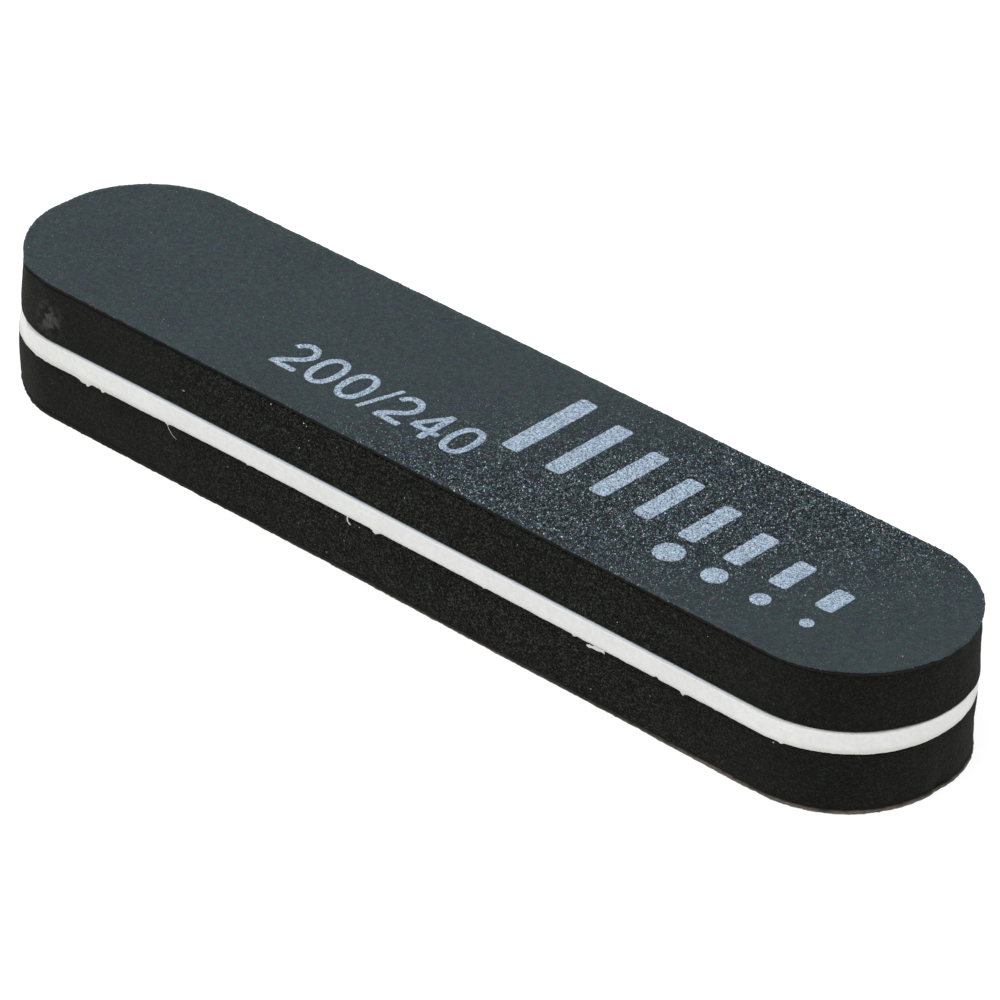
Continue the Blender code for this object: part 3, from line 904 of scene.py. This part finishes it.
# ------------------------------------------------------------------ core board
# burrs left by the die on the lower edge of the near long side:
# (x, half width, hang below the edge, reach outward), and one nick on the upper edge
BURRS = ((18.34, 0.11, 0.13, 0.05), (28.85, 0.20, 0.18, 0.10), (26.27, 0.22, -0.10, -0.12),
         (-1.50, 0.34, 0.20, 0.10), (-32.55, 0.55, 0.16, 0.06), (-31.98, 0.20, 0.22, 0.10), (-30.4, 0.17, 0.16, 0.06),
         (-23.35, 0.16, 0.10, 0.05), (9.4, 0.12, 0.07, 0.04), (37.8, 0.15, 0.08, 0.05),
         (-14.8, 0.13, 0.06, 0.04), (-38.0, 0.20, 0.07, 0.04))
NICKS = ((-0.63, 0.14, 0.10),)


def core_board():
    z_low, z_high = heights("core_board")
    # the die drags the lower edge into a tall shallow round; the upper edge stays crisp
    low_high, low_in, top_round = 0.58, 0.24, 0.06
    profile = []
    for k in range(9):
        profile.append((z_low, -1.25 + (1.25 - low_in) * k / 9))
    for k in range(8):
        a = math.radians(90.0 * k / 7)
        profile.append((z_low + low_high * (1 - math.cos(a)), -low_in * (1 - math.sin(a))))
    side_low, side_high = z_low + low_high, z_high - top_round
    for k in range(1, 11):
        profile.append((side_low + (side_high - side_low) * k / 11, 0.0))
    for k in range(4):
        a = math.radians(90.0 * k / 3)
        profile.append((z_high - top_round * (1 - math.sin(a)), -top_round * (1 - math.cos(a))))
    for k in range(1, 10):
        profile.append((z_high, -top_round - (1.25 - top_round) * k / 9))
    rings, normals = shell_points(CORE_STRIP, profile, 0.125)
    count = len(normals)
    for ring, (z, grow) in zip(rings, profile):
        side = 1.0 if grow > -0.4 else 0.25
        out = (0.020 * lumps(ring, (0.9, 0.9, 2.5), 510) + 0.010 * lumps(ring, 0.28, 511)
               + 0.030 * lumps(ring, (11.0, 11.0, 20.0), 512)
               + 0.012 * lumps(ring, (0.22, 0.22, 1.6), 513)) * side
        lift = 0.012 * lumps(ring, 0.35, 514) + 0.006 * lumps(ring, 0.18, 515)
        inner = grow < -1.2
        if inner:
            out, lift = out * 0, lift * 0
        x, y = ring[:, 0].copy(), ring[:, 1].copy()
        if not inner:
            drawn_in = min(1.0, max(0.0, (z - z_low - 0.05) / (z_high - z_low - 0.30))) ** 0.7
            out = out + wander("core", x, y) * side - corner_recess(x, y) * drawn_in
            out = out - 0.05 * bell(round_ends(x, y)[0], 40, 20)
        near = (normals[:, 1] < -0.95)
        if z < z_low + 0.35 and grow > -0.5:
            weight = 1.0 - max(0.0, (z - z_low) / 0.35)
            for bx, half, hang, reach in BURRS:
                rise = np.exp(-((x - bx) / half) ** 2 * (1.2 + 0.5 * np.sin(x * 23))) * near * weight
                out = out + reach * rise
                lift = lift - hang * rise * (1.0 if grow > -0.3 else 0.6)
            # a fine serration all along the lower edge, and a drawn-down stretch by the far end
            fray = np.clip(lumps(ring, (0.35, 0.35, 9.0), 520), 0, 1) ** 2
            lift = lift - (0.04 + 0.05 * fray + 0.15 * np.clip((-x - 17) / 10, 0, 1)) * weight
            lift = lift - corner_lip(x, y) * weight * min(1.0, max(0.0, (grow + 0.28) / 0.12))
        if z > z_high - 0.3 and grow > -0.3:
            for bx, half, cut in NICKS:
                nick = bell(x, bx, half) * near
                out = out - cut * nick
                lift = lift - 0.5 * cut * nick
        ring[:, :2] += normals * np.reshape(out, (-1, 1))
        ring[:, 2] += lift + droop(x)
    points = np.concatenate(rings)
    quads = np.concatenate([ring_faces(len(rings), count),
                            caps(0, (len(rings) - 1) * count, CORE_STRIP, 0.125)])
    return make_piece("core_white_board", points, quads, [], CORE, ["core_board"])


core_board()


def shaving(name, spine, width, thick, curl, seed, taper=0.55):
    """A thin curled shaving of core plastic still held at one end; spine lists its points."""
    spine = [Vector(p) for p in spine]
    along, across = 14, 5
    rows_top, rows_low = [], []
    for i in range(along + 1):
        t = i / along * (len(spine) - 1)
        k = min(int(t), len(spine) - 2)
        p = spine[k].lerp(spine[k + 1], t - k)
        d = (spine[k + 1] - spine[k]).normalized()
        side = d.cross(Vector((0, 1, 0))).normalized()
        up = side.cross(d).normalized()
        w = width * (1 - taper * (i / along)) * (1 + 0.3 * math.sin(5.1 * i + seed))
        top, low = [], []
        for j in range(across + 1):
            v = j / across * 2 - 1
            bend = curl * v * v * w
            q = p + side * (v * w / 2) + up * bend
            top.append(q + up * thick / 2)
            low.append(q - up * thick / 2)
        rows_top.append(top)
        rows_low.append(low)
    points = [p for row in rows_top + rows_low for p in row]
    n, m = along + 1, across + 1
    t = lambda i, j: i * m + j
    b = lambda i, j: n * m + i * m + j
    quads = []
    for i in range(along):
        for j in range(across):
            quads.append((t(i, j), t(i, j + 1), t(i + 1, j + 1), t(i + 1, j)))
            quads.append((b(i, j), b(i + 1, j), b(i + 1, j + 1), b(i, j + 1)))
        quads.append((t(i, 0), t(i + 1, 0), b(i + 1, 0), b(i, 0)))
        quads.append((t(i, across), b(i, across), b(i + 1, across), t(i + 1, across)))
    for j in range(across):
        quads.append((t(0, j), b(0, j), b(0, j + 1), t(0, j + 1)))
        quads.append((t(along, j), t(along, j + 1), b(along, j + 1), b(along, j)))
    piece = make_piece(name, np.array([list(p) for p in points]), quads, [], CORE, [])
    return piece


shaving("core_shaving_long", [(21.37, -9.88, 5.34), (21.0, -9.90, 5.31), (20.4, -9.92, 5.29), (20.1, -9.95, 5.26), (19.93, -10.0, 5.26), (19.78, -10.04, 5.31)],
        0.30, 0.05, 0.12, 1, 0.42)
shaving("core_shaving_fine", [(-4.25, -9.94, 5.52), (-4.15, -10.06, 5.34), (-3.95, -10.14, 5.18), (-3.70, -10.16, 5.10)],
        0.12, 0.04, 0.2, 2)
shaving("core_shaving_hair", [(-23.30, -9.90, 5.46), (-23.05, -10.00, 5.12), (-22.65, -10.02, 4.72), (-22.20, -9.98, 4.42)],
        0.046, 0.018, 0.1, 3, 0.80)


# specks of cut dust that cling to the near side: (x, z, size)
CRUMBS = ((-12.69, 11.52, 0.060), (-9.26, 11.34, 0.055), (-8.95, 11.21, 0.045), (-9.54, 9.10, 0.050),
          (-8.62, 10.12, 0.045), (1.22, 9.47, 0.050), (-3.37, 4.76, 0.055), (37.12, 4.89, 0.060),
          (-21.7, 8.9, 0.105), (12.4, 10.4, 0.035), (22.3, 8.3, 0.035), (-16.1, 3.2, 0.035),
          (8.9, 2.1, 0.040), (30.6, 10.9, 0.035))


def crumbs():
    """Tiny eight-sided specks sitting on the foam's near side."""
    points, tris = [], []
    for k, (x, z, size) in enumerate(CRUMBS):
        upper = z > 7.0
        strip, side = (UPPER_FOAM, UPPER_FOAM_SIDE) if upper else (LOWER_FOAM, LOWER_FOAM_SIDE)
        z_low, z_high = heights("upper_foam_pad" if upper else "lower_foam_pad")
        t = (z - z_low) / (z_high - z_low) if upper else (z_high - z) / (z_high - z_low)
        y = strip.cy - strip.hy - side_offset(side, t) - 0.3 * size
        grow = [size * (0.65 + 0.7 * float(hashed(k, j, 3, 700))) for j in range(6)]
        points += [(x + grow[0], y, z), (x - grow[1], y, z), (x, y + grow[2], z),
                   (x, y - grow[3], z), (x, y, z + grow[4]), (x, y, z - grow[5])]
        for a, b, c in ((0, 2, 4), (2, 1, 4), (1, 3, 4), (3, 0, 4), (2, 0, 5), (1, 2, 5), (3, 1, 5), (0, 3, 5)):
            tris.append((6 * k + a, 6 * k + b, 6 * k + c))
    return make_piece("cut_dust_specks", np.array(points), [], [], CORE, [], tris, True)


crumbs()


# ------------------------------------------------------------------ print
def top_loops(node):
    """The outlines of a mark's upper face, outer and holes, in mm."""
    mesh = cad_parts[node].data
    top = max(v.co.z for v in mesh.vertices)
    key = lambda v: (round(v.co.x, 8), round(v.co.y, 8))
    once = {}
    for face in mesh.polygons:
        if face.normal.z < 0.9 or abs(face.center.z - top) > 2e-6:
            continue
        ring = [key(mesh.vertices[i]) for i in face.vertices]
        for a, b in zip(ring, ring[1:] + ring[:1]):
            if (b, a) in once:
                del once[(b, a)]
            else:
                once[(a, b)] = True
    follow = {a: b for a, b in once}
    loops = []
    while follow:
        first, at = next(iter(follow.items()))
        del follow[first]
        loop = [first]
        while at != first:
            loop.append(at)
            at = follow.pop(at)
        loops.append(np.array(loop) / MM)
    return loops


def resampled(loop, step):
    ends = np.roll(loop, -1, axis=0)
    lengths = np.hypot(*(ends - loop).T)
    total = lengths.sum()
    starts = np.concatenate([[0], np.cumsum(lengths)[:-1]])
    s = np.arange(int(total / step)) * (total / int(total / step))
    k = np.clip(np.searchsorted(starts, s, side="right") - 1, 0, len(loop) - 1)
    f = ((s - starts[k]) / np.maximum(lengths[k], 1e-12))[:, None]
    return loop[k] * (1 - f) + ends[k] * f


def inside(points, loops):
    """Whether each point is inside the loops, by even-odd crossings."""
    odd = np.zeros(len(points), bool)
    x, y = points[:, 0], points[:, 1]
    for loop in loops:
        nxt = np.roll(loop, -1, axis=0)
        for (ax, ay), (bx, by) in zip(loop, nxt):
            if ay == by:
                continue
            cross = ((ay > y) != (by > y)) & (x < (bx - ax) * (y - ay) / (by - ay) + ax)
            odd ^= cross
    return odd


def ink_mark(node, index):
    """One printed mark laid over the grain, ragged by a grain at its edge."""
    loops = []
    for loop in top_loops(node):
        fine = resampled(loop, 0.07)
        for _ in range(3):                     # ink rounds every corner a little
            fine = 0.5 * fine + 0.25 * (np.roll(fine, 1, axis=0) + np.roll(fine, -1, axis=0))
        ahead, behind = np.roll(fine, -1, axis=0), np.roll(fine, 1, axis=0)
        d = ahead - behind
        d /= np.maximum(np.hypot(*d.T), 1e-9)[:, None]
        normal = np.column_stack([d[:, 1], -d[:, 0]])
        p = np.column_stack([fine, np.full(len(fine), 0.2)])
        push = 0.030 * lumps(p, 0.13, 601) + 0.018 * lumps(p, 0.32, 602)
        loops.append(fine + normal * push[:, None])
    every = np.concatenate(loops)
    low, high = every.min(0) - 0.2, every.max(0) + 0.2
    pitch = 0.115
    gx = np.arange(math.floor(low[0] / pitch), math.ceil(high[0] / pitch)) * pitch
    gy = np.arange(math.floor(low[1] / pitch), math.ceil(high[1] / pitch)) * pitch
    grid = np.array([(x, y) for x in gx for y in gy])
    grid = grid[inside(grid, loops)]
    if len(grid):
        clear = np.array([np.min(np.hypot(*(every - g).T)) for g in grid]) > 0.06
        grid = grid[clear]
    verts = [Vector(p) for p in np.concatenate([every, grid])]
    edges, at = [], 0
    for loop in loops:
        edges += [(at + i, at + (i + 1) % len(loop)) for i in range(len(loop))]
        at += len(loop)
    flat, _, tris, _, _, _ = delaunay_2d_cdt(verts, edges, [], 1, 1e-6)
    flat = np.array([list(v) for v in flat])
    tris = np.array([t for t in tris if len(t) == 3])
    tris = tris[inside(flat[tris].mean(axis=1), loops)]
    used, tris = np.unique(tris, return_inverse=True)
    tris = tris.reshape(-1, 3)
    flat = flat[used]
    a, b, c = flat[tris[:, 0]], flat[tris[:, 1]], flat[tris[:, 2]]
    turned = ((b - a)[:, 0] * (c - a)[:, 1] - (b - a)[:, 1] * (c - a)[:, 0]) < 0
    tris[turned] = tris[turned][:, ::-1]
    z = upper_coat.height_at(flat[:, 0], flat[:, 1])
    p = np.column_stack([flat, np.full(len(flat), 0.4)])
    top = np.column_stack([flat, z + 0.016 + 0.004 * lumps(p, 0.12, 603)])
    base = np.column_stack([flat, z - 0.020])
    n = len(flat)
    a = tris.ravel()
    b = np.roll(tris, -1, axis=1).ravel()
    size = n + 1
    alone = ~np.isin(a.astype(np.int64) * size + b, b.astype(np.int64) * size + a)
    ea, eb = a[alone], b[alone]
    walls = np.stack([ea + n, eb + n, eb, ea], 1)
    faces = list(tris) + list(tris[:, ::-1] + n)
    return make_piece("ink_" + node, np.concatenate([top, base]), walls, faces, INK, [node])


marks = sorted(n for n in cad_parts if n.startswith(("grit_mark_", "scale_bar_", "scale_dot_")))
for index, node in enumerate(marks):
    ink_mark(node, index)


# ------------------------------------------------------------------ single grains
def grains(name, places, lift, radius, material, seed):
    """Crushed grains standing out of the upper coat: crooked three-sided spikes."""
    n = len(places)
    x, y = places[:, 0], places[:, 1]
    order = np.arange(n)
    number = lambda k: hashed(order, order * 7 + k, order * 0 + k, seed)
    size = radius[0] + (radius[1] - radius[0]) * number(1) ** 1.5
    turn = number(2) * 2 * math.pi
    z = upper_coat.height_at(x, y) + lift - 0.030 * bedded(x, y)
    corners = []
    for k in range(3):
        a = turn + k * math.pi / 1.5 + (number(10 + k) - 0.5) * 1.1
        r = size * (0.75 + 0.5 * number(20 + k))
        corners.append(np.column_stack([x + r * np.cos(a), y + r * np.sin(a), z - 0.035]))
    a, r = number(3) * 2 * math.pi, size * 0.6 * number(4)
    peak = z + size * (0.55 + 0.95 * number(5))
    corners.append(np.column_stack([x + r * np.cos(a), y + r * np.sin(a), peak]))
    points = np.stack(corners, 1).reshape(-1, 3)
    faces = np.array([(0, 1, 3), (1, 2, 3), (2, 0, 3), (0, 2, 1)])
    tris = (order[:, None, None] * 4 + faces[None]).reshape(-1, 3)
    # each grain is laid out in a square cell of its own: three sides about the peak, base in a corner
    across = int(math.ceil(math.sqrt(n)))
    fan = np.array([(0.06, 0.06), (0.94, 0.06), (0.40, 0.94), (0.44, 0.34)])
    base = np.array([(0.70, 0.70), (0.94, 0.94), (0.94, 0.60)])
    cell = np.concatenate([fan[faces[:3].ravel()], base])
    start = np.column_stack([order % across, order // across])
    layout = ((start[:, None, :] + cell[None]) / across).reshape(-1, 2)
    return make_piece(name, points, [], [], material, [], tris, True, layout)


def scattered(pitch, seed):
    """Points of a shaken grid over the upper sheet, kept off its rim."""
    gx = np.arange(int(-TOP_SHEET.hx / pitch) - 2, int(TOP_SHEET.hx / pitch) + 3)
    gy = np.arange(int(-TOP_SHEET.hy / pitch) - 2, int(TOP_SHEET.hy / pitch) + 3)
    i, j = [a.ravel() for a in np.meshgrid(gx, gy, indexing="ij")]
    x = TOP_SHEET.cx + (i + 0.95 * hashed(i, j, i * 0, seed)) * pitch
    y = TOP_SHEET.cy + (j + 0.95 * hashed(i, j, i * 0 + 1, seed)) * pitch
    depth, _, _ = TOP_SHEET.depth(x, y)
    depth = depth - wander("top", x, y)
    keep = (depth < -0.02) & (hashed(i, j, i * 0 + 2, seed) > 0.15 * np.clip(1 + depth / 0.4, 0, 1))
    return np.column_stack([x[keep], y[keep]])


places = scattered(0.186, 800)
printed = np.zeros(len(places), bool)
for node in marks:
    printed |= inside(places, top_loops(node))
order = np.arange(len(places))
# grains with painted glints: pale tones and real high specular
shiny_painted_glint = ~printed & (hashed(order, order * 3 + 1, order * 0, 830) < 0.032 - 0.026 * bedded(*places.T))
grains("upper_coat_grains", places[~printed & ~shiny_painted_glint], -0.004, (0.046, 0.100), CRYSTAL, 810)
grains("shiny_painted_glint_coat_grains", places[shiny_painted_glint], 0.006, (0.055, 0.110), GLINT, 840)
grains("printed_grains", places[printed], 0.012, (0.046, 0.088), INKED_CRYSTAL, 820)

# the finest grit, where it is not bedded in the binder
fines = scattered(0.150, 850)
order = np.arange(len(fines))
fines = fines[hashed(order, order * 5 + 3, order * 0, 860) > bedded(*fines.T)]
covered = np.zeros(len(fines), bool)
for node in marks:
    covered |= inside(fines, top_loops(node))
grains("fine_coat_grains", fines[~covered], 0.000, (0.026, 0.052), FINE_CRYSTAL, 870)

# ------------------------------------------------------------------ stage, light, camera
floor_mesh = bpy.data.meshes.new("floor")
floor_mesh.from_pydata([(-3, -3, 0), (3, -3, 0), (3, 3, 0), (-3, 3, 0)], [], [(0, 1, 2, 3)])
floor = bpy.data.objects.new("floor", floor_mesh)
floor.location.z = -0.00003
bpy.context.scene.collection.objects.link(floor)
f = Nodes("pale_floor")
soft = f.noise(40.0, detail=2.0)
f.link(f.mix(soft.outputs["Fac"], (0.29, 0.29, 0.29), (0.31, 0.31, 0.31)), f.shader.inputs["Base Color"])
f.shader.inputs["Roughness"].default_value = 0.95
f.shader.inputs["Specular IOR Level"].default_value = 0.1
# a light table: the floor's own glow leaves hardly any shadow
f.shader.inputs["Emission Color"].default_value = (1.0, 1.0, 1.0, 1.0)
f.shader.inputs["Emission Strength"].default_value = 0.80
floor_mesh.materials.append(f.material)


def softbox(name, where, target, size, power, colour):
    light = bpy.data.lights.new(name, "AREA")
    light.shape = "RECTANGLE"
    light.size, light.size_y = size
    light.energy = power
    light.color = colour
    lamp = bpy.data.objects.new(name, light)
    lamp.location = where
    lamp.rotation_mode = "QUATERNION"
    lamp.rotation_quaternion = (Vector(target) - Vector(where)).to_track_quat("-Z", "Y")
    bpy.context.scene.collection.objects.link(lamp)
    return lamp


softbox("top_softbox", (-0.05, -0.25, 0.70), (0, 0, 0), (0.80, 0.50), 2.8, (0.99, 0.995, 1.0))
softbox("back_softbox", (-0.25, 0.55, 0.45), (0, 0, 0), (0.80, 0.30), 0.6, (1.0, 1.0, 0.99))
softbox("far_end_softbox", (-0.75, -0.15, 0.35), (0, 0, 0), (0.40, 0.40), 0.4, (0.97, 0.985, 1.0))

world = bpy.data.worlds.new("studio")
bpy.context.scene.world = world
world.use_nodes = True
background = world.node_tree.nodes["Background"]
background.inputs["Color"].default_value = (0.985, 0.992, 1.0, 1.0)
background.inputs["Strength"].default_value = 0.73

view = bpy.context.scene.view_settings
view.view_transform = "Standard"
view.look = "None"
view.exposure = 0.0
view.gamma = 1.0

right = Vector((0.74003, 0.67202, 0.02722))
down = Vector((0.37813, -0.38225, -0.84315))
ahead = Vector((-0.55621, 0.63425, -0.53699))
camera_data = bpy.data.cameras.new("camera")
camera_data.sensor_width = 36.0
camera_data.lens = 220.35
camera_data.clip_start = 0.01
camera_data.clip_end = 50.0
camera = bpy.data.objects.new("camera", camera_data)
pose = Matrix((right, -down, -ahead)).transposed().to_4x4()
pose.translation = Vector((0.25837, -0.29215, 0.25269))
camera.matrix_world = pose
bpy.context.scene.collection.objects.link(camera)
bpy.context.scene.camera = camera
